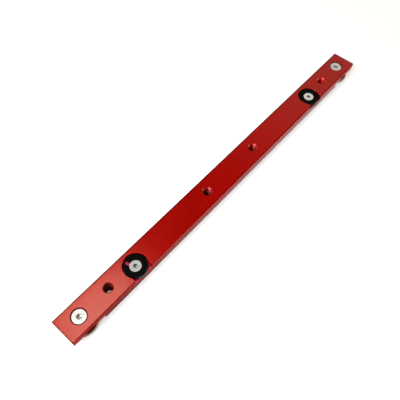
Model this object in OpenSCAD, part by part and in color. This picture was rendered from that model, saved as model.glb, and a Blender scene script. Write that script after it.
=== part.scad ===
// Guide rail slider: a flat bar that runs in a table slot. Each end carries a
// disc that hooks under the lips of a T-shaped slot, and two split rings, spread
// by countersunk screws, take up the play at one side.
// Millimetres. Origin at the centre of the underside, +X along the bar,
// +Z up, the rings showing at the -Y side.

/* [Bar] */
// Length of the bar
bar_len = 300; // [260:10:600]
// Width of the bar
bar_w = 18; // [17.6:0.1:18.4]
// Thickness of the bar
bar_t = 9.5; // [9.2:0.1:10.5]
// Bevel along the long edges
edge_bevel = 0.2; // [0.2:0.05:0.6]
// Bevel at the two cut ends
end_bevel = 0.2; // [0.1:0.05:0.5]

/* [End recess and T-slot discs] */
// Length of the step under each end
recess_len = 23.5; // [23:0.1:26]
// Depth of the step under each end
recess_depth = 3.5; // [3.1:0.1:3.6]
// Outside diameter of a disc
disc_d = 20.4; // [19.6:0.1:20.4]
// Thickness of a disc
disc_t = 3; // [2.6:0.1:3]
// Bevel round a disc's rims
disc_bevel = 0.3; // [0.1:0.05:0.5]
// Distance from each end to its disc and end screw
end_inset = 12.5; // [11.8:0.1:12.6]

/* [Tapped holes] */
// Thread size of the four fixing holes
tap_d = 6; // [5:0.5:8]
// Bevel at the mouths of the fixing holes
tap_bevel = 0.45; // [0.2:0.05:0.6]
// Distance from each end to its outer hole
outer_hole_inset = 35; // [32:0.5:40]
// Distance from the middle to the inner holes
inner_hole_x = 25; // [10:0.5:60]

/* [Snug rings] */
// Distance from each end to its ring
ring_inset = 55.6; // [55:0.1:64]
// How far a ring's centre is from the bar's middle line
ring_offset = 2; // [1.6:0.1:2]
// Outside diameter of a ring
ring_d = 15.2; // [15:0.1:15.6]
// Bore of a ring
ring_bore_d = 5; // [4.6:0.1:5.4]
// Bevel round a ring's rims
ring_bevel = 0.3; // [0.2:0.05:0.6]
// Width of the slit in a ring
slit_w = 3; // [1:0.1:3.4]
// Direction of the left ring's slit, in degrees from +X
left_slit_angle = 110; // [90:1:130]
// Direction of the right ring's slit, in degrees from +X
right_slit_angle = 114; // [90:1:130]
// Gap between a ring and the wall of its pocket
pocket_gap = 0.7; // [0.5:0.05:0.8]
// Depth of a pocket
pocket_depth = 4.05; // [4:0.05:4.6]
// Width of a pocket's mouth in the side of the bar
mouth_w = 14.1; // [13:0.1:14.6]

/* [Screws] */
// Thread size of the end screws
end_screw_d = 5; // [4:0.5:5]
// Head diameter of the end screws
end_head_d = 8.7; // [8.6:0.1:9.4]
// Length of the end screws, head and all
end_screw_len = 8; // [7.6:0.1:8.4]
// Hexagon socket of the end screws, across its flats
end_socket = 3; // [2.5:0.5:3]
// Thread size of the snug screws
snug_screw_d = 4; // [3:0.5:4]
// Head diameter of the snug screws
snug_head_d = 7.5; // [7.4:0.1:8.1]
// Length of the snug screws, head and all
snug_screw_len = 8; // [7.6:0.1:8.6]
// Hexagon socket of the snug screws, across its flats
snug_socket = 2.5; // [2:0.5:2.5]
// How far all four heads lie below the top face
head_drop = 0.5; // [0.2:0.05:0.5]

/* [Hidden] */
$fn = 96;
e = 0.01;                                  // overshoot of the cutters
run_clear = 0.05;                          // radial play of a turning screw
ring_seat = 0.05;                          // play under a ring
ring_drop = 0.15;                          // a ring's top below the top face
cone_gap = 0.12;                           // play between a ring and its screw's cone
head_land = 0.25;                          // straight rim of a head
end_x = bar_len / 2 - end_inset;
ring_x = bar_len / 2 - ring_inset;
outer_hole_x = bar_len / 2 - outer_hole_inset;
floor_z = bar_t - pocket_depth;            // floor of a pocket
end_head_z = bar_t - head_drop;            // top of a head
snug_head_z = bar_t - head_drop;
end_clear_r = end_screw_d / 2 + 0.25;      // clearance hole through the bar
// radius of the end countersink at the top face, a 90 degree cone that
// meets the cone of the head
end_sink_r = end_head_d / 2 + head_drop + head_land;
ring_top_z = bar_t - ring_drop;
ring_bottom_z = floor_z + ring_seat;
// radius of a ring's 90 degree countersink at its top
ring_sink_r = snug_head_d / 2 + cone_gap + ring_top_z - (snug_head_z - head_land);

// section across the bar, with a bevel along each long edge
module bar_section() {
    w = bar_w / 2;
    b = edge_bevel;
    polygon([[-w + b, 0], [w - b, 0], [w, b], [w, bar_t - b], [w - b, bar_t],
             [-w + b, bar_t], [-w, bar_t - b], [-w, b]]);
}

// the bar seen from the side, with the step under each end
module bar_side() {
    h = bar_len / 2;
    r = h - recess_len;
    b = end_bevel;
    polygon([[-r, 0], [r, 0], [r, recess_depth], [h - b, recess_depth],
             [h, recess_depth + b], [h, bar_t - b], [h - b, bar_t],
             [-h + b, bar_t], [-h, bar_t - b], [-h, recess_depth + b],
             [-h + b, recess_depth], [-r, recess_depth]]);
}

// the bar seen from above, with its four corners taken off
module bar_plan() {
    h = bar_len / 2;
    w = bar_w / 2;
    b = end_bevel;
    polygon([[-h + b, -w], [h - b, -w], [h, -w + b], [h, w - b],
             [h - b, w], [-h + b, w], [-h, w - b], [-h, -w + b]]);
}

module bar_blank() {
    intersection() {
        rotate([90, 0, 90])
            translate([0, 0, -bar_len / 2 - 1])
                linear_extrude(bar_len + 2) bar_section();
        rotate([90, 0, 0])
            translate([0, 0, -bar_w])
                linear_extrude(2 * bar_w) bar_side();
        translate([0, 0, -1])
            linear_extrude(bar_t + 2) bar_plan();
    }
}

// through hole for a thread, with a 45 degree bevel at both mouths
module tapped_hole(r, bevel, z0, z1) {
    translate([0, 0, z0 - 1]) cylinder(r = r, h = z1 - z0 + 2);
    translate([0, 0, z1 - bevel])
        cylinder(r1 = r, r2 = r + bevel + e, h = bevel + e);
    translate([0, 0, z0 - e])
        cylinder(r1 = r + bevel + e, r2 = r, h = bevel + e);
}

// round pocket that opens through the -Y side
module ring_pocket() {
    translate([0, 0, floor_z]) {
        cylinder(r = ring_d / 2 + pocket_gap, h = pocket_depth + 1);
        translate([-mouth_w / 2, -bar_w, 0])
            cube([mouth_w, bar_w, pocket_depth + 1]);
    }
}

module guide_bar() {
    color([0.66, 0.07, 0.05])
    difference() {
        bar_blank();
        // countersunk holes of the end screws
        for (s = [-1, 1]) translate([s * end_x, 0, 0]) {
            cylinder(r = end_clear_r, h = bar_t + 1);
            translate([0, 0, bar_t - (end_sink_r - end_clear_r)])
                cylinder(r1 = end_clear_r, r2 = end_sink_r + e,
                         h = end_sink_r - end_clear_r + e);
        }
        // four tapped fixing holes
        for (x = [-outer_hole_x, -inner_hole_x, inner_hole_x, outer_hole_x])
            translate([x, 0, 0]) tapped_hole(tap_d / 2, tap_bevel, 0, bar_t);
        // pockets of the snug rings, with a tapped hole in each floor
        for (s = [-1, 1]) translate([s * ring_x, -ring_offset, 0]) {
            ring_pocket();
            translate([0, 0, -1]) cylinder(r = snug_screw_d / 2, h = floor_z + 2);
            translate([0, 0, -e])
                cylinder(r1 = snug_screw_d / 2 + 0.35 + e, r2 = snug_screw_d / 2,
                         h = 0.35 + e);
        }
    }
}

// countersunk hexagon socket screw, its tip at z = 0
module flat_screw(thread_r, head_r, len, socket, socket_depth, turn) {
    cone_h = head_r - thread_r;
    difference() {
        rotate_extrude()
            polygon([[0, 0], [thread_r - 0.5, 0], [thread_r, 0.5],
                     [thread_r, len - head_land - cone_h],
                     [head_r, len - head_land], [head_r, len - 0.08],
                     [head_r - 0.08, len], [0, len]]);
        // hexagon socket with a drilled point and a broken edge
        rotate([0, 0, turn]) {
            translate([0, 0, len - socket_depth])
                cylinder(d = socket / cos(30), h = socket_depth + 1, $fn = 6);
            translate([0, 0, len - socket_depth - 0.25 * socket])
                cylinder(r1 = 0.05, r2 = 0.48 * socket, h = 0.25 * socket + e);
            translate([0, 0, len - 0.2])
                cylinder(r1 = socket / 2, r2 = socket / 2 + 0.25, h = 0.25);
        }
    }
}

module end_screw(turn) {
    color([0.82, 0.82, 0.80])
    translate([0, 0, end_head_z - end_screw_len])
        flat_screw(end_screw_d / 2 - 0.02, end_head_d / 2, end_screw_len,
                   end_socket, 1.9, turn);
}

module left_end_screw() { translate([-end_x, 0, 0]) end_screw(12); }
module right_end_screw() { translate([end_x, 0, 0]) end_screw(34); }

module snug_screw(turn) {
    color([0.76, 0.75, 0.71])
    translate([0, 0, snug_head_z - snug_screw_len])
        flat_screw(snug_screw_d / 2 - run_clear, snug_head_d / 2, snug_screw_len,
                   snug_socket, 1.6, turn);
}

module left_snug_screw() { translate([-ring_x, -ring_offset, 0]) snug_screw(22); }
module right_snug_screw() { translate([ring_x, -ring_offset, 0]) snug_screw(47); }

// disc that runs under the lips of a T-shaped slot, tapped for its screw
module t_disc() {
    r = disc_d / 2;
    b = disc_bevel;
    color([0.62, 0.58, 0.54])
    translate([0, 0, recess_depth - disc_t])
    difference() {
        rotate_extrude()
            polygon([[0, 0], [r - b, 0], [r, b], [r, disc_t - b],
                     [r - b, disc_t], [0, disc_t]]);
        tapped_hole(end_screw_d / 2, 0.3, 0, disc_t);
    }
}

module left_t_disc() { translate([-end_x, 0, 0]) t_disc(); }
module right_t_disc() { translate([end_x, 0, 0]) t_disc(); }

// ring slit through one side, countersunk from above
module snug_ring(slit_angle) {
    r = ring_d / 2;
    b = ring_bevel;
    h = ring_top_z - ring_bottom_z;
    bore_r = ring_bore_d / 2;
    color([0.05, 0.05, 0.055])
    translate([0, 0, ring_bottom_z])
    difference() {
        rotate_extrude()
            polygon([[0, 0], [r - b, 0], [r, b], [r, h - b], [r - b, h], [0, h]]);
        translate([0, 0, -1]) cylinder(r = bore_r, h = h + 2);
        translate([0, 0, h - (ring_sink_r - bore_r)])
            cylinder(r1 = bore_r, r2 = ring_sink_r + e,
                     h = ring_sink_r - bore_r + e);
        rotate([0, 0, slit_angle])
            translate([0, -slit_w / 2, -1]) cube([ring_d, slit_w, h + 2]);
    }
}

module left_snug_ring() {
    translate([-ring_x, -ring_offset, 0]) snug_ring(left_slit_angle);
}
module right_snug_ring() {
    translate([ring_x, -ring_offset, 0]) snug_ring(right_slit_angle);
}

guide_bar();
left_end_screw();
right_end_screw();
left_t_disc();
right_t_disc();
left_snug_ring();
right_snug_ring();
left_snug_screw();
right_snug_screw();
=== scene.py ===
"""Looks of a guide rail slider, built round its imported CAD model."""

import math

import bmesh
import bpy
from mathutils import Matrix, Vector


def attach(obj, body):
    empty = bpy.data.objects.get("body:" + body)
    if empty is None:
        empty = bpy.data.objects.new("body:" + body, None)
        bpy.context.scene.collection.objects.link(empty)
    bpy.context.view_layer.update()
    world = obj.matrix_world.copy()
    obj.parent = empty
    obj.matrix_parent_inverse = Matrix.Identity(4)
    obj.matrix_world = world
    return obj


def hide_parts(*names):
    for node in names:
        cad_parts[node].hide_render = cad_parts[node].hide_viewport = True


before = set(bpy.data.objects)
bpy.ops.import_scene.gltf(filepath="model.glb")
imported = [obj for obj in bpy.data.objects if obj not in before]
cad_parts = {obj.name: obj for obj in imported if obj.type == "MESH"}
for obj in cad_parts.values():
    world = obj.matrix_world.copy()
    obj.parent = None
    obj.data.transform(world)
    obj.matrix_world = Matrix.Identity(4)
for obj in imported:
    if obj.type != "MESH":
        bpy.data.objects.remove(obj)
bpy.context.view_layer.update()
scene = bpy.context.scene

# ---------------------------------------------------------------- sizes, mm
LENGTH, WIDTH, THICK = 300.0, 18.0, 9.5
LONG_BEVEL, END_BEVEL = 0.2, 0.2
RECESS_LEN, RECESS_Z = 23.5, 3.5
END_X = 137.5
RING_X, RING_Y = 94.4, -2.0
HOLES_X = (-115.0, -25.0, 25.0, 115.0)
FLOOR_Z = 5.45
POCKET_R, MOUTH_HALF = 8.3, 7.05
HEAD_TOP = 9.0
LAND = 0.25
END_HEAD_R, SNUG_HEAD_R = 4.35, 3.75
RING_R, RING_BORE, RING_LOW, RING_TOP = 7.6, 2.5, 5.5, 9.35
RING_SINK = 4.42
SLIT = 3.0
DISC_R, DISC_LOW, DISC_HIGH = 10.2, 0.5, 3.5


# ------------------------------------------------------------- mesh helpers
def solid(points, faces, name):
    """A new object from points in millimetres."""
    mesh = bpy.data.meshes.new(name)
    mesh.from_pydata([tuple(p) for p in points], [], [tuple(f) for f in faces])
    mesh.validate()
    obj = bpy.data.objects.new(name, mesh)
    scene.collection.objects.link(obj)
    bm = bmesh.new()
    bm.from_mesh(mesh)
    bmesh.ops.recalc_face_normals(bm, faces=bm.faces)
    bm.to_mesh(mesh)
    bm.free()
    return obj


def loft(rings, closed=True):
    """Points and faces of a closed solid through rings of equal length, capped at both ends."""
    n = len(rings[0])
    points = [p for r in rings for p in r]
    faces = []
    for i in range(len(rings) - 1):
        a, b = i * n, (i + 1) * n
        for j in range(n):
            k = (j + 1) % n
            faces.append((a + j, a + k, b + k, b + j))
    if closed:
        faces.append(tuple(range(n))[::-1])
        faces.append(tuple((len(rings) - 1) * n + j for j in range(n)))
    return points, faces


def merged(parts):
    """Several (points, faces) as one."""
    points, faces = [], []
    for p, f in parts:
        base = len(points)
        points += list(p)
        faces += [tuple(i + base for i in q) for q in f]
    return points, faces


def round_solid(rows, centre=(0.0, 0.0), sides=96, turn=0.0):
    """Points and faces of a solid round the Z axis. rows holds (z, radius), where radius is a number or a function of the angle."""
    rings = []
    for z, radius in rows:
        ring = []
        for j in range(sides):
            a = 2 * math.pi * j / sides + turn
            r = radius(a) if callable(radius) else radius
            ring.append((centre[0] + r * math.cos(a), centre[1] + r * math.sin(a), z))
        rings.append(ring)
    return loft(rings)


def thread_share(a, z, pitch):
    """0 on a thread's inner flat, 1 on its outer flat, at angle a and height z, for a right-hand thread."""
    phase = (z / pitch - a / (2 * math.pi)) % 1.0
    t = abs(phase - 0.5) * 2
    return min(1.0, max(0.0, (t - 0.25) / 0.625))


def steps(low, high, step):
    n = max(1, int(round((high - low) / step)))
    return [low + (high - low) * i / n for i in range(n + 1)]


def cut(obj, cutter):
    """Takes cutter, an object, out of obj and removes it."""
    m = obj.modifiers.new("cut", "BOOLEAN")
    m.operation, m.object, m.solver = "DIFFERENCE", cutter, "EXACT"
    bpy.context.view_layer.update()
    graph = bpy.context.evaluated_depsgraph_get()
    mesh = bpy.data.meshes.new_from_object(obj.evaluated_get(graph))
    obj.modifiers.clear()
    old, obj.data = obj.data, mesh
    mesh.name = obj.name
    bpy.data.meshes.remove(old)
    spent = cutter.data
    bpy.data.objects.remove(cutter)
    bpy.data.meshes.remove(spent)


def finish_mesh(obj, material, sharp=32.0, crisp=False):
    """Cleans the mesh, marks its sharp edges, weights its normals and brings it to metres. crisp keeps level faces level."""
    mesh = obj.data
    bm = bmesh.new()
    bm.from_mesh(mesh)
    bmesh.ops.remove_doubles(bm, verts=bm.verts, dist=0.0005)
    bmesh.ops.dissolve_degenerate(bm, dist=0.0005, edges=bm.edges)
    flat = [f for f in bm.faces if len(f.verts) > 4]
    bmesh.ops.triangulate(bm, faces=flat)
    limit = math.radians(sharp)
    for f in bm.faces:
        f.smooth = True
    for e in bm.edges:
        if len(e.link_faces) == 2:
            e.smooth = e.calc_face_angle(0.0) < limit
            level = [f.normal.z > 0.9999 for f in e.link_faces]
            if crisp and level[0] != level[1]:
                e.smooth = False
    bmesh.ops.scale(bm, vec=(0.001, 0.001, 0.001), verts=bm.verts)
    bm.to_mesh(mesh)
    bm.free()
    m = obj.modifiers.new("normals", "WEIGHTED_NORMAL")
    m.mode, m.weight, m.keep_sharp = "FACE_AREA", 50, True
    bpy.context.view_layer.update()
    graph = bpy.context.evaluated_depsgraph_get()
    done = bpy.data.meshes.new_from_object(obj.evaluated_get(graph))
    obj.modifiers.clear()
    obj.data = done
    done.name = obj.name
    bpy.data.meshes.remove(mesh)
    done.materials.clear()
    done.materials.append(material)
    return obj


def softened(corners, s):
    """A closed outline with each corner replaced by three points, s either side of it."""
    out = []
    n = len(corners)
    for i, v in enumerate(corners):
        a, b = Vector(corners[i - 1]), Vector(corners[(i + 1) % n])
        v = Vector(v)
        back, on = (a - v).normalized() * s, (b - v).normalized() * s
        out += [v + back, v + (back + on) * 0.25, v + on]
    return out


# ---------------------------------------------------------------- materials
def nodes_of(name):
    mat = bpy.data.materials.new(name)
    mat.use_nodes = True
    tree = mat.node_tree
    return mat, tree, tree.nodes["Principled BSDF"]


def add(tree, kind, **values):
    node = tree.nodes.new(kind)
    for key, value in values.items():
        if hasattr(node, key):
            setattr(node, key, value)
        else:
            node.inputs[key].default_value = value
    return node


def put(tree, node, name, value):
    """Links value, a socket, or sets it, a number, on a node's input."""
    if isinstance(value, bpy.types.NodeSocket):
        tree.links.new(value, node.inputs[name])
    else:
        node.inputs[name].default_value = value


def maths(tree, operation, a, b=0.0, clamp=False):
    node = tree.nodes.new("ShaderNodeMath")
    node.operation, node.use_clamp = operation, clamp
    put(tree, node, 0, a)
    put(tree, node, 1, b)
    return node.outputs[0]


def spread(tree, value, low, high, to_low, to_high, smooth=True):
    node = tree.nodes.new("ShaderNodeMapRange")
    node.interpolation_type = "SMOOTHSTEP" if smooth else "LINEAR"
    put(tree, node, "Value", value)
    for name, v in (("From Min", low), ("From Max", high), ("To Min", to_low), ("To Max", to_high)):
        put(tree, node, name, v)
    return node.outputs["Result"]


def mixed(tree, share, a, b, mode="MIX"):
    node = tree.nodes.new("ShaderNodeMix")
    node.data_type, node.blend_type = "RGBA", mode
    put(tree, node, 0, share)
    put(tree, node, 6, a)
    put(tree, node, 7, b)
    return node.outputs[2]


def place(tree, scale=(1, 1, 1), shift=(0, 0, 0), turn=0.0):
    """The object's own coordinates, in metres, scaled."""
    coord = tree.nodes.new("ShaderNodeTexCoord")
    mapping = tree.nodes.new("ShaderNodeMapping")
    mapping.inputs["Scale"].default_value = scale
    mapping.inputs["Location"].default_value = shift
    mapping.inputs["Rotation"].default_value = (0, 0, turn)
    tree.links.new(coord.outputs["Object"], mapping.inputs["Vector"])
    return mapping.outputs["Vector"]


def noise(tree, vector, scale, detail=2.0, rough=0.5, kind="3D"):
    node = tree.nodes.new("ShaderNodeTexNoise")
    node.noise_dimensions = kind
    tree.links.new(vector, node.inputs["Vector"])
    node.inputs["Scale"].default_value = scale
    node.inputs["Detail"].default_value = detail
    node.inputs["Roughness"].default_value = rough
    return node.outputs["Fac"]


def bump(tree, height, distance, strength=1.0, normal=None):
    node = tree.nodes.new("ShaderNodeBump")
    node.inputs["Distance"].default_value = distance
    node.inputs["Strength"].default_value = strength
    tree.links.new(height, node.inputs["Height"])
    if normal is not None:
        tree.links.new(normal, node.inputs["Normal"])
    return node.outputs["Normal"]


def apart(tree, vector):
    node = tree.nodes.new("ShaderNodeSeparateXYZ")
    tree.links.new(vector, node.inputs[0])
    return node.outputs


def red_anodised():
    """Dyed anodised extrusion: fine lines along the bar and a slow drift of tone, with painted light and shade by
    position: darker arrises, flanks, holes and pocket walls, a lighter upper face, and pocket floors painted bright on
    the left and dark on the right.
    """
    mat, tree, shader = nodes_of("red_anodised")
    lines = noise(tree, place(tree, (22, 2600, 2600)), 1.0, 3.0, 0.6)       # about 0.4 mm apart
    hair = noise(tree, place(tree, (90, 9000, 9000), (3, 5, 7)), 1.0, 2.0, 0.7)   # about 0.1 mm
    drift = noise(tree, place(tree, (18, 60, 60), (1.7, 0.3, 2.9)), 1.0, 2.0, 0.5)
    speck = noise(tree, place(tree, (900, 1500, 1500), (9, 2, 4)), 1.0, 2.0, 0.55)
    deep, light = (0.38, 0.0007, 0.0002, 1), (0.47, 0.0026, 0.0006, 1)
    tone = maths(tree, "ADD", maths(tree, "MULTIPLY", lines, 0.35),
                 maths(tree, "ADD", maths(tree, "MULTIPLY", drift, 0.45), maths(tree, "MULTIPLY", hair, 0.2)))
    colour = mixed(tree, spread(tree, tone, 0.36, 0.64, 0.0, 1.0), deep, light)
    # painted light: the upper face is painted a little lighter right of the middle and at the left end, where more
    # light falls on it
    x, y, z = apart(tree, place(tree))
    painted_top_light = maths(tree, "MULTIPLY", spread(tree, x, -0.045, 0.0, 0.0, 1.0), spread(tree, x, 0.105, 0.06, 0.0, 1.0))
    painted_top_light = maths(tree, "MAXIMUM", painted_top_light, spread(tree, x, -0.09, -0.115, 0.0, 0.55))
    painted_top_light = maths(tree, "MULTIPLY", painted_top_light, spread(tree, z, 0.00940, 0.00949, 0.0, 0.22))
    colour = mixed(tree, painted_top_light, colour, (0.75, 0.0030, 0.0006, 1))
    # arrises: painted shade darkens them, least on the near one's left half, and a painted contact shadow darkens the
    # lower ones; noise breaks the shade up a little
    top_edge = spread(tree, z, 0.0090, 0.0093, 0.0, 1.0)
    low_edge = spread(tree, z, 0.0022, 0.0008, 0.0, 1.0)
    back_edge = spread(tree, y, 0.00800, 0.00840, 0.0, 1.0)
    near_edge = spread(tree, y, -0.00850, -0.00875, 0.0, 1.0)
    end_edge = spread(tree, maths(tree, "ABSOLUTE", x), 0.14920, 0.14955, 0.0, 1.0)
    half = spread(tree, x, -0.06, -0.01, 0.0, 1.0)
    edge_shade_break = spread(tree, noise(tree, place(tree, (140, 600, 600), (4, 8, 1)), 1.0, 4.0, 0.65), 0.36, 0.64, 1.0, 0.7)
    dim = maths(tree, "MULTIPLY", near_edge, spread(tree, half, 0.0, 1.0, 0.25, 1.0, False))
    dim = maths(tree, "MULTIPLY", maths(tree, "MAXIMUM", maths(tree, "MAXIMUM", back_edge, end_edge), dim), top_edge)
    dim = maths(tree, "MAXIMUM", dim, maths(tree, "MULTIPLY", low_edge, maths(tree, "MAXIMUM", near_edge, back_edge)))
    dim = maths(tree, "MULTIPLY", dim, edge_shade_break)
    colour = mixed(tree, maths(tree, "MULTIPLY", dim, 0.9), colour, (0.035, 0.0015, 0.0010, 1))
    # the long sides: matt above and rubbed glossy below, where they run in the slot, and darkened by painted shade,
    # most towards the bottom and at the left end
    flank = spread(tree, maths(tree, "ABSOLUTE", y), 0.00886, 0.00892, 0.0, 1.0)
    lower = spread(tree, z, 0.0086, 0.0048, 0.0, 1.0)
    high_sheen = spread(tree, x, -0.07, -0.01, 0.10, 0.0)
    low_sheen = spread(tree, x, -0.12, 0.08, 0.06, 0.78, False)
    flank_sheen = maths(tree, "ADD", maths(tree, "MULTIPLY", high_sheen, maths(tree, "SUBTRACT", 1.0, lower)),
                        maths(tree, "MULTIPLY", low_sheen, lower))
    # painted shade on the flanks, deeper towards the bottom and at the left end
    flank_shade = maths(tree, "ADD", spread(tree, z, 0.0055, 0.0015, 0.30, 0.68, False), spread(tree, x, -0.080, -0.125, 0.0, 0.20))
    colour = mixed(tree, maths(tree, "MULTIPLY", flank, flank_shade), colour, (0.05, 0.002, 0.0010, 1))
    # the shade under each end screw's head, and down the tapped holes, deepest in the left outer one
    crevice = None
    for cx in (-END_X, END_X):
        gx = maths(tree, "SUBTRACT", x, cx * 0.001)
        r = maths(tree, "SQRT", maths(tree, "ADD", maths(tree, "MULTIPLY", gx, gx), maths(tree, "MULTIPLY", y, y)))
        inside = spread(tree, r, 0.0053, 0.0051, 0.0, 1.0)
        crevice = inside if crevice is None else maths(tree, "ADD", crevice, inside, True)
    low = spread(tree, z, 0.009497, 0.00942, 0.0, 1.0)
    crevice = maths(tree, "MULTIPLY", crevice, low)
    colour = mixed(tree, maths(tree, "MULTIPLY", crevice, 0.95), colour, (0.012, 0.0004, 0.0004, 1))
    shaft = None
    for cx, share in zip(HOLES_X, (1.0, 0.5, 0.2, 0.0)):
        gx = maths(tree, "SUBTRACT", x, cx * 0.001)
        r = maths(tree, "SQRT", maths(tree, "ADD", maths(tree, "MULTIPLY", gx, gx), maths(tree, "MULTIPLY", y, y)))
        inside = spread(tree, r, 0.00335, 0.00325, 0.0, share)
        shaft = inside if shaft is None else maths(tree, "ADD", shaft, inside, True)
    shaft = maths(tree, "MULTIPLY", shaft, low)
    colour = mixed(tree, maths(tree, "MULTIPLY", shaft, 0.95), colour, (0.065, 0.0008, 0.0008, 1))
    crevice = maths(tree, "MAXIMUM", crevice, shaft)
    # the pockets: painted shade darkens the walls, and the milled floors are painted bright on the left and dark with
    # painted shade on the right
    flat = spread(tree, maths(tree, "ABSOLUTE", maths(tree, "SUBTRACT", z, FLOOR_Z * 0.001)), 0.00004, 0.00008, 1.0, 0.0)
    upright = maths(tree, "MULTIPLY", spread(tree, z, (FLOOR_Z + 0.05) * 0.001, (FLOOR_Z + 0.12) * 0.001, 0.0, 1.0),
                    spread(tree, z, (THICK - 0.02) * 0.001, (THICK - 0.08) * 0.001, 0.0, 1.0))
    milled, arcs, walls, open_floor = None, None, None, None
    wall_y = maths(tree, "ADD", y, -RING_Y * 0.001)
    for cx in (-RING_X, RING_X):
        gx = maths(tree, "SUBTRACT", x, cx * 0.001)
        r = maths(tree, "SQRT", maths(tree, "ADD", maths(tree, "MULTIPLY", gx, gx), maths(tree, "MULTIPLY", wall_y, wall_y)))
        mouth = maths(tree, "MULTIPLY", spread(tree, maths(tree, "ABSOLUTE", gx), 0.00720, 0.00712, 0.0, 1.0),
                      spread(tree, wall_y, 0.0, -0.0005, 0.0, 1.0))
        near = maths(tree, "MULTIPLY", maths(tree, "MAXIMUM", spread(tree, r, 0.0088, 0.0086, 0.0, 1.0), mouth), upright)
        walls = near if walls is None else maths(tree, "ADD", walls, near, True)
        inside = maths(tree, "MULTIPLY", spread(tree, r, 0.0105, 0.0101, 0.0, 1.0), flat)
        milled = inside if milled is None else maths(tree, "ADD", milled, inside, True)
        seen = maths(tree, "MAXIMUM", spread(tree, r, 0.0077, 0.0073, 0.0, 1.0), spread(tree, wall_y, -0.0050, -0.0062, 0.0, 1.0))
        seen = maths(tree, "MULTIPLY", seen, inside)
        open_floor = seen if open_floor is None else maths(tree, "ADD", open_floor, seen, True)
        wave = maths(tree, "MULTIPLY", maths(tree, "SINE", maths(tree, "MULTIPLY", r, 2 * math.pi / 0.00035)), inside)
        arcs = wave if arcs is None else maths(tree, "ADD", arcs, wave)
    colour = mixed(tree, maths(tree, "MULTIPLY", walls, 0.8), colour, (0.10, 0.0015, 0.0030, 1))
    shade = spread(tree, x, -0.02, 0.02, 0.0, 0.75)
    colour = mixed(tree, milled, colour, mixed(tree, shade, (0.90, 0.022, 0.070, 1), (0.05, 0.001, 0.003, 1)))
    # painted light: the left pocket's open floor glows faintly red
    lit = maths(tree, "MULTIPLY", open_floor, spread(tree, x, 0.02, -0.02, 0.0, 0.22))
    shader.inputs["Emission Color"].default_value = (1.0, 0.10, 0.20, 1)
    put(tree, shader, "Emission Strength", lit)
    put(tree, shader, "Base Color", colour)
    bare = maths(tree, "MAXIMUM", maths(tree, "MULTIPLY", flank, maths(tree, "SUBTRACT", 1.0, lower)), dim)
    metal = spread(tree, bare, 0.0, 1.0, 0.5, 0.95, False)
    dull = spread(tree, maths(tree, "MAXIMUM", milled, crevice), 0.0, 1.0, 1.0, 0.2, False)
    put(tree, shader, "Metallic", maths(tree, "MULTIPLY", metal, dull))
    rough = maths(tree, "ADD", spread(tree, lines, 0.3, 0.7, 0.41, 0.49, False),
                  spread(tree, speck, 0.3, 0.7, -0.03, 0.04, False))
    put(tree, shader, "Roughness", rough)
    shader.inputs["Specular IOR Level"].default_value = 0.2
    shader.inputs["Specular Tint"].default_value = (1.0, 0.12, 0.08, 1)
    sheen = maths(tree, "ADD", maths(tree, "MULTIPLY", flank, flank_sheen), spread(tree, flank, 0.0, 1.0, 0.87, 0.0, False))
    hidden = maths(tree, "MAXIMUM", maths(tree, "MAXIMUM", maths(tree, "MULTIPLY", milled, spread(tree, x, -0.02, 0.02, 0.45, 1.0)), crevice), maths(tree, "MAXIMUM", walls, maths(tree, "MULTIPLY", dim, 0.95)))
    put(tree, shader, "Coat Weight", maths(tree, "MULTIPLY", sheen, spread(tree, hidden, 0.0, 1.0, 1.0, 0.1, False)))
    shader.inputs["Coat Roughness"].default_value = 0.18
    shader.inputs["Coat IOR"].default_value = 1.5
    n = bump(tree, lines, 0.000012, 0.6)
    n = bump(tree, hair, 0.000003, 0.6, n)
    n = bump(tree, speck, 0.000002, 0.5, n)
    n = bump(tree, arcs, 0.000004, 0.6, n)
    put(tree, shader, "Normal", n)
    put(tree, shader, "Coat Normal", n)
    return mat


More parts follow.
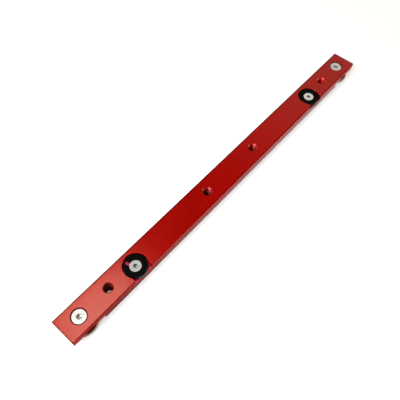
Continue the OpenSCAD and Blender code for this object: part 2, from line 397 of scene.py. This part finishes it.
def turned(name, base, dark, centre, rough, groove=0.00018, socket=None, wall_tone=0.15, tip_tone=0.5, metal=1.0):
    """Bright plated metal with concentric turning marks round centre, in metres."""
    mat, tree, shader = nodes_of(name)
    v = place(tree, (1, 1, 1), (-centre[0], -centre[1], 0.0))
    x, y, z = apart(tree, v)
    radius = maths(tree, "SQRT", maths(tree, "ADD", maths(tree, "MULTIPLY", x, x), maths(tree, "MULTIPLY", y, y)))
    join = tree.nodes.new("ShaderNodeCombineXYZ")
    put(tree, join, 0, maths(tree, "DIVIDE", radius, groove))
    put(tree, join, 1, maths(tree, "MULTIPLY", z, 400.0))
    marks = noise(tree, join.outputs[0], 1.0, 2.0, 0.6)
    cloud = noise(tree, place(tree, (260, 260, 260), (centre[0] * 50, 3, 1)), 1.0, 3.0, 0.6)
    grit = noise(tree, place(tree, (2600, 2600, 2600), (2, centre[0] * 90, 6)), 1.0, 2.0, 0.6)
    share = maths(tree, "ADD", maths(tree, "MULTIPLY", marks, 0.4), maths(tree, "MULTIPLY", cloud, 0.6))
    colour = mixed(tree, spread(tree, share, 0.35, 0.65, 0.0, 1.0), dark, base)
    if socket:
        # painted shade: a socket's walls are darkened, its drilled bottom less so
        within = spread(tree, radius, socket * 0.64, socket * 0.61, 0.0, 1.0)
        sunk = spread(tree, z, (HEAD_TOP - 0.015) * 0.001, (HEAD_TOP - 0.05) * 0.001, 0.0, 1.0)
        wall = spread(tree, radius, socket * 0.34, socket * 0.46, 0.0, 1.0)
        socket_shade = mixed(tree, wall, (tip_tone, tip_tone, tip_tone * 0.97, 1), (wall_tone, wall_tone, wall_tone * 0.97, 1))
        colour = mixed(tree, maths(tree, "MULTIPLY", within, sunk), colour, socket_shade)
    put(tree, shader, "Base Color", colour)
    shader.inputs["Metallic"].default_value = metal
    put(tree, shader, "Roughness", maths(tree, "ADD", spread(tree, marks, 0.3, 0.7, rough - 0.05, rough + 0.06, False),
                                         spread(tree, grit, 0.3, 0.7, -0.02, 0.03, False)))
    n = bump(tree, marks, 0.000006, 0.7)
    n = bump(tree, grit, 0.0000015, 0.5, n)
    put(tree, shader, "Normal", n)
    return mat


def black_nylon():
    """Moulded black nylon: a satin skin with fine pitting and faint flow lines."""
    mat, tree, shader = nodes_of("black_nylon")
    skin = noise(tree, place(tree, (2400, 2400, 2400)), 1.0, 3.0, 0.6)
    flow = noise(tree, place(tree, (220, 220, 500), (5, 1, 2)), 1.0, 3.0, 0.55)
    share = maths(tree, "ADD", maths(tree, "MULTIPLY", skin, 0.4), maths(tree, "MULTIPLY", flow, 0.6))
    put(tree, shader, "Base Color", mixed(tree, spread(tree, share, 0.35, 0.68, 0.0, 1.0),
                                          (0.0010, 0.0010, 0.0010, 1), (0.0028, 0.0028, 0.0029, 1)))
    put(tree, shader, "Roughness", maths(tree, "ADD", spread(tree, flow, 0.3, 0.7, 0.36, 0.48, False),
                                         spread(tree, skin, 0.3, 0.7, -0.03, 0.05, False)))
    # the moulded wall is polished by the slot where it stands out of the bar
    x, y, z = apart(tree, place(tree))
    ay = maths(tree, "ADD", y, 0.002)
    gx = maths(tree, "SUBTRACT", maths(tree, "ABSOLUTE", x), RING_X * 0.001)
    radius = maths(tree, "SQRT", maths(tree, "ADD", maths(tree, "MULTIPLY", gx, gx), maths(tree, "MULTIPLY", ay, ay)))
    wall = maths(tree, "MULTIPLY", spread(tree, radius, (RING_R - 0.15) * 0.001, (RING_R - 0.03) * 0.001, 0.0, 1.0), spread(tree, z, 0.0088, 0.0068, 0.0, 1.0))
    wall = maths(tree, "MULTIPLY", wall, spread(tree, y, -0.0080, -0.0090, 0.0, 1.0))
    put(tree, shader, "Specular IOR Level", spread(tree, wall, 0.0, 1.0, 0.045, spread(tree, x, -0.02, 0.02, 0.25, 0.10), False))
    n = bump(tree, skin, 0.000008, 0.5)
    n = bump(tree, flow, 0.00001, 0.4, n)
    put(tree, shader, "Normal", n)
    return mat


RED = red_anodised()
NYLON = black_nylon()


# ---------------------------------------------------------------- guide bar
def bar_section(inset):
    """The bar's outline across its length, in Y and Z, drawn in from its faces by inset."""
    w, low, high, c = WIDTH / 2 - inset, inset, THICK - inset, LONG_BEVEL
    corners = [(-w + c, low), (w - c, low), (w, low + c), (w, high - c),
               (w - c, high), (-w + c, high), (-w, high - c), (-w, low + c)]
    return softened(corners, 0.07)


def bar_blank():
    h, b = LENGTH / 2, END_BEVEL
    ends = [(h, b + 0.06), (h - 0.015, b - 0.0), (h - 0.06, b - 0.06),
            (h - b + 0.06, 0.06), (h - b, 0.015), (h - b - 0.06, 0.0)]
    stations = [(-x, i) for x, i in ends] + [(x, i) for x, i in reversed(ends)]
    rings = [[(x, p[0], p[1]) for p in bar_section(i)] for x, i in stations]
    return solid(*loft(rings), "guide_bar_body")


def recess_cutter(side):
    outline = [(LENGTH / 2 - RECESS_LEN, -1.0), (LENGTH / 2 + 2, -1.0),
               (LENGTH / 2 + 2, RECESS_Z + END_BEVEL + 2), (LENGTH / 2 - END_BEVEL, RECESS_Z),
               (LENGTH / 2 - RECESS_LEN, RECESS_Z)]
    return loft([[(side * x, y, z) for x, z in outline] for y in (-12.0, 12.0)])


def pocket_cutter(cx):
    def outline(grow, z):
        r, m = POCKET_R + grow, MOUTH_HALF + grow
        start = -math.acos(m / r)
        sweep = math.pi - 2 * start
        arc = [(r * math.cos(start + sweep * i / 84), r * math.sin(start + sweep * i / 84)) for i in range(85)]
        ends = [(-m, -12.0), (-m, -20.0), (m, -20.0), (m, -12.0)]
        return [(cx + x, RING_Y + y, z) for x, y in arc + ends]
    return loft([outline(0.0, FLOOR_Z), outline(0.0, THICK - 0.1), outline(0.1, THICK), outline(0.2, THICK + 1.0)])


def fixing_hole_cutter(cx):
    """An M6 thread with a bevel at both mouths."""
    rows = []
    for z in steps(-0.8, THICK + 0.8, 1.0 / 13):
        top, low = 3.0 + (z - (THICK - 0.45)), 3.0 + (0.45 - z)
        rows.append((z, lambda a, z=z, floor=max(top, low): max(2.46 + 0.54 * thread_share(a, z, 1.0), floor)))
    return round_solid(rows, (cx, 0.0), 72)


def end_hole_cutter(cx):
    """The end screw's clearance hole and countersink."""
    rows = [(-1.0, 2.75), (THICK - 2.35, 2.75), (THICK - 0.06, 5.04), (THICK, 5.12), (THICK + 1.0, 6.4)]
    return round_solid(rows, (cx, 0.0), 96)


def snug_hole_cutter(cx):
    """The snug screw's M4 hole in a pocket's floor. Its thread shows below the screw's tip."""
    rows = []
    for z in steps(-0.6, 1.08, 0.06):
        low = 2.0 + (0.35 - z)
        rows.append((z, lambda a, z=z, low=low: max(1.62 + 0.38 * thread_share(a, z, 0.7), low)))
    rows += [(1.1, 2.0), (FLOOR_Z + 0.5, 2.0)]
    return round_solid(rows, (cx, RING_Y), 64)


bar = bar_blank()
cut(bar, solid(*merged([recess_cutter(-1), recess_cutter(1), pocket_cutter(-RING_X), pocket_cutter(RING_X)]), "milling"))
cut(bar, solid(*merged([fixing_hole_cutter(x) for x in HOLES_X]
                       + [end_hole_cutter(s * END_X) for s in (-1, 1)]
                       + [snug_hole_cutter(s * RING_X) for s in (-1, 1)]), "drilling"))
finish_mesh(bar, RED)
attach(bar, "bar")
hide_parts("guide_bar")


# ------------------------------------------------------------------- screws
def screw(name, centre, thread_r, head_r, low, pitch, depth, socket, turn, mouth, material):
    """A countersunk hexagon socket screw with its thread, from z = low to the level of the heads."""
    cone = head_r - thread_r
    cone_low = HEAD_TOP - LAND - cone
    rows = [(low, thread_r - 0.55)]
    for z in steps(low + 0.03, cone_low - 0.05, pitch / 12):
        top = thread_r - 0.5 + (z - low)
        rows.append((z, lambda a, z=z, top=top: min(thread_r - depth + depth * thread_share(a, z, pitch), top)))
    rows += [(cone_low, thread_r - 0.01), (cone_low + 0.05, thread_r + 0.05),
             (HEAD_TOP - LAND - 0.04, head_r - 0.04), (HEAD_TOP - LAND, head_r - 0.005),
             (HEAD_TOP - LAND + 0.03, head_r), (HEAD_TOP - 0.11, head_r), (HEAD_TOP - 0.06, head_r - 0.02),
             (HEAD_TOP - 0.02, head_r - 0.06), (HEAD_TOP, head_r - 0.12)]
    obj = solid(*round_solid(rows, centre, 72), name)
    deep = 1.9 if socket > 2.7 else 1.6
    tip = HEAD_TOP - deep
    corner = socket / 2 / math.cos(math.pi / 6)
    hexagon = [(tip, corner), (HEAD_TOP + 1.0, corner)]
    cut(obj, solid(*round_solid(hexagon, centre, 6, turn), "socket"))
    cut(obj, solid(*round_solid([(tip - 0.25 * socket, 0.05), (tip + 0.01, 0.48 * socket)], centre, 48), "point"))
    cut(obj, solid(*round_solid([(HEAD_TOP - mouth, socket / 2 - 0.02), (HEAD_TOP + mouth, socket / 2 + 2 * mouth)], centre, 48), "mouth"))
    return finish_mesh(obj, material, crisp=True)


ZINC, ZINC_DARK = (0.92, 0.92, 0.96, 1), (0.74, 0.75, 0.79, 1)
# painted light and shade: the left snug screw's steel is painted darker and the right one's lighter, and the end
# screws' sockets get less painted shade on the left
STEEL_LIT_BY_SIDE = {-1: ((0.64, 0.66, 0.70, 1), (0.50, 0.52, 0.56, 1)), 1: ((0.90, 0.90, 0.90, 1), (0.78, 0.78, 0.78, 1))}
for side, word, turn_end, turn_snug in ((-1, "left", 12, 22), (1, "right", 34, 47)):
    at = (side * END_X, 0.0)
    piece = screw(word + "_end_screw_turned", at, 2.48, END_HEAD_R, 1.2, 0.8, 0.43, 3.0, math.radians(turn_end), 0.36,
                  turned("zinc_" + word + "_end", ZINC, ZINC_DARK, (at[0] * 0.001, 0.0), 0.43, socket=0.003,
                         wall_tone=0.46 - 0.06 * side, tip_tone=0.68 - 0.10 * side, metal=0.65))
    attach(piece, "bar")
    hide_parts(word + "_end_screw")
    at = (side * RING_X, RING_Y)
    piece = screw(word + "_snug_screw_turned", at, 1.95, SNUG_HEAD_R, 1.2, 0.7, 0.38, 2.5, math.radians(turn_snug), 0.26,
                  turned("zinc_" + word + "_snug", *STEEL_LIT_BY_SIDE[side], (at[0] * 0.001, at[1] * 0.001), 0.58, socket=0.0025,
                          wall_tone=0.20, tip_tone=0.62, metal=0.65))
    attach(piece, word + "_screw")
    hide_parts(word + "_snug_screw")


# -------------------------------------------------------------------- discs
def t_disc(name, cx, material):
    z0, z1, r = DISC_LOW, DISC_HIGH, DISC_R
    rows = [(z0, r - 0.34), (z0 + 0.02, r - 0.26), (z0 + 0.26, r - 0.02), (z0 + 0.34, r),
            (z1 - 0.34, r), (z1 - 0.26, r - 0.02), (z1 - 0.02, r - 0.26), (z1, r - 0.34)]
    obj = solid(*round_solid(rows, (cx, 0.0), 128), name)
    hole = []
    for z in steps(z0 - 0.5, z0 + 0.6, 0.06):
        low = 2.5 + (z0 + 0.3 - z)
        hole.append((z, lambda a, z=z, low=low: max(2.07 + 0.43 * thread_share(a, z, 0.8), low)))
    hole += [(z0 + 0.62, 2.5), (z1 - 0.3, 2.5), (z1 + 0.3, 3.1)]
    cut(obj, solid(*round_solid(hole, (cx, 0.0), 64), "tapping"))
    return finish_mesh(obj, material)


# painted reflection and shade: the steel discs are coloured dark red-brown for the bar's red underside they mirror and
# the shade beneath it
for side, word in ((-1, "left"), (1, "right")):
    piece = t_disc(word + "_t_disc_turned", side * END_X,
                   turned("disc_" + word, (0.32, 0.205, 0.165, 1), (0.20, 0.115, 0.085, 1), (side * END_X * 0.001, 0.0), 0.34, 0.00025))
    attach(piece, "bar")
    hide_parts(word + "_t_disc")


# -------------------------------------------------------------------- rings
def snug_ring(name, cx, slit_angle):
    z0, z1, r, b = RING_LOW, RING_TOP, RING_R, 0.3
    arc = [(b * (1 - math.cos(t)), b * (1 - math.sin(t))) for t in (math.pi / 12 * i for i in range(7))]
    # arc runs from the rim's side, where the radius is whole, to its flat
    rows = [(z0 + up, r - back) for back, up in reversed(arc)]
    rows += [(z1 - up, r - back) for back, up in arc]
    obj = solid(*round_solid(rows, (cx, RING_Y), 128), name)
    sink = RING_SINK - RING_BORE
    hole = [(z0 - 0.5, RING_BORE + 0.5), (z0 + 0.15, RING_BORE), (z1 - sink, RING_BORE), (z1 - 0.08, RING_SINK - 0.08),
            (z1, RING_SINK + 0.06), (z1 + 0.5, RING_SINK + 0.9)]
    cut(obj, solid(*round_solid(hole, (cx, RING_Y), 96), "boring"))
    a = math.radians(slit_angle)
    u, v = Vector((math.cos(a), math.sin(a))), Vector((-math.sin(a), math.cos(a)))
    base = Vector((cx, RING_Y))
    foot = [base + u * s + v * t for s, t in ((0.5, -SLIT / 2), (12, -SLIT / 2), (12, SLIT / 2), (0.5, SLIT / 2))]
    cut(obj, solid(*loft([[(p.x, p.y, z) for p in foot] for z in (z0 - 1, z1 + 1)]), "slit"))
    return finish_mesh(obj, NYLON)


for side, word, angle in ((-1, "left", 110), (1, "right", 114)):
    piece = snug_ring(word + "_snug_ring_moulded", side * RING_X, angle)
    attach(piece, word + "_ring")
    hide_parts(word + "_snug_ring")


# -------------------------------------------------------------------- stage
def floor_material():
    mat, tree, shader = nodes_of("studio_floor")
    grain = noise(tree, place(tree, (60, 60, 60)), 1.0, 3.0, 0.6)
    put(tree, shader, "Base Color", mixed(tree, spread(tree, grain, 0.3, 0.7, 0.0, 1.0), (0.77, 0.80, 0.84, 1), (0.79, 0.82, 0.86, 1)))
    shader.inputs["Roughness"].default_value = 0.85
    shader.inputs["Specular IOR Level"].default_value = 0.1
    # the floor glows faintly all over; the glow stops under the bar, a painted shade there, and is painted stronger
    # close beside the bar, lightening its shadow
    x, y, z = apart(tree, place(tree))
    beside = maths(tree, "MAXIMUM", spread(tree, maths(tree, "ABSOLUTE", x), 0.125, 0.128, 0.0, 1.0),
                   spread(tree, maths(tree, "ABSOLUTE", y), 0.0086, 0.0090, 0.0, 1.0))
    close = maths(tree, "MULTIPLY", spread(tree, maths(tree, "ABSOLUTE", y), 0.045, 0.012, 0.0, 0.14),
                  spread(tree, maths(tree, "ABSOLUTE", x), 0.20, 0.155, 0.0, 1.0))
    glow = maths(tree, "MULTIPLY", beside, maths(tree, "ADD", close, 0.3))
    # painted light: a warm glowing spot on the floor shows down the left outer tapped hole
    gx = maths(tree, "SUBTRACT", x, (HOLES_X[0] - 0.8) * 0.001)
    gy = maths(tree, "SUBTRACT", y, -0.0007)
    r = maths(tree, "SQRT", maths(tree, "ADD", maths(tree, "MULTIPLY", gx, gx), maths(tree, "MULTIPLY", gy, gy)))
    spot = spread(tree, r, 0.0028, 0.0021, 0.0, 1.0)
    put(tree, shader, "Emission Color", mixed(tree, spot, (1.0, 0.99, 0.98, 1), (1.0, 0.76, 0.60, 1)))
    put(tree, shader, "Emission Strength", maths(tree, "ADD", glow, maths(tree, "MULTIPLY", spot, 0.5)))
    return mat


bpy.ops.mesh.primitive_plane_add(size=8.0, location=(0, 0, -0.00002))
floor = bpy.context.object
floor.name = "studio_floor"
floor.data.materials.append(floor_material())


def softbox(name, at, target, wide, high, radiance, colour=(1, 1, 1)):
    """A rectangular area light of a given brightness, aimed at target. Metres."""
    data = bpy.data.lights.new(name, "AREA")
    data.shape, data.size, data.size_y = "RECTANGLE", wide, high
    data.energy = radiance * math.pi * wide * high
    data.color = colour
    obj = bpy.data.objects.new(name, data)
    obj.location = at
    obj.rotation_euler = (Vector(target) - Vector(at)).to_track_quat("-Z", "Y").to_euler()
    scene.collection.objects.link(obj)
    return obj


softbox("key", (-0.085, 0.180, 0.67), (-0.13, 0.0, 0.0), 0.19, 0.19, 5.4, (1.0, 0.92, 0.70))
softbox("left", (-1.05, 0.20, 0.85), (0.0, 0.0, 0.0), 0.9, 0.8, 9.3)
softbox("right", (0.90, -0.95, 0.36), (0.05, 0.0, 0.0), 0.8, 0.5, 2.0)

world = bpy.data.worlds.new("studio")
scene.world = world
world.use_nodes = True
tree = world.node_tree
back = tree.nodes["Background"]
coord = tree.nodes.new("ShaderNodeTexCoord")
x, y, z = apart(tree, coord.outputs["Generated"])
glow = spread(tree, z, 0.70, 0.83, 0.44, 0.0)
low_glow = spread(tree, z, 0.20, 0.56, 0.8, 0.0)
near = spread(tree, maths(tree, "MULTIPLY", y, -1.0), 0.6, 0.95, 1.0, 0.35)
level = maths(tree, "MULTIPLY", maths(tree, "ADD", glow, low_glow), near)
back.inputs["Color"].default_value = (1.0, 0.92, 0.72, 1)
tree.links.new(level, back.inputs["Strength"])

scene.view_settings.view_transform = "Standard"
scene.view_settings.look = "None"
scene.view_settings.exposure = 0.0
scene.view_settings.gamma = 1.0

# ------------------------------------------------------------------- camera
eye = bpy.data.cameras.new("camera")
camera = bpy.data.objects.new("camera", eye)
scene.collection.objects.link(camera)
eye.sensor_width = 36.0
eye.sensor_fit = "AUTO"
eye.lens = 39.177
eye.clip_start, eye.clip_end = 0.01, 50.0
right = Vector((0.65729206, -0.75284679, 0.03447979))
over = Vector((0.64043670, 0.58209520, 0.50100501))
away = Vector((-0.39725053, -0.30722449, 0.86475726))
turn = Matrix((right, over, away)).transposed().to_4x4()
camera.matrix_world = Matrix.Translation(Vector((-0.148235, -0.089661, 0.259615))) @ turn
scene.camera = camera
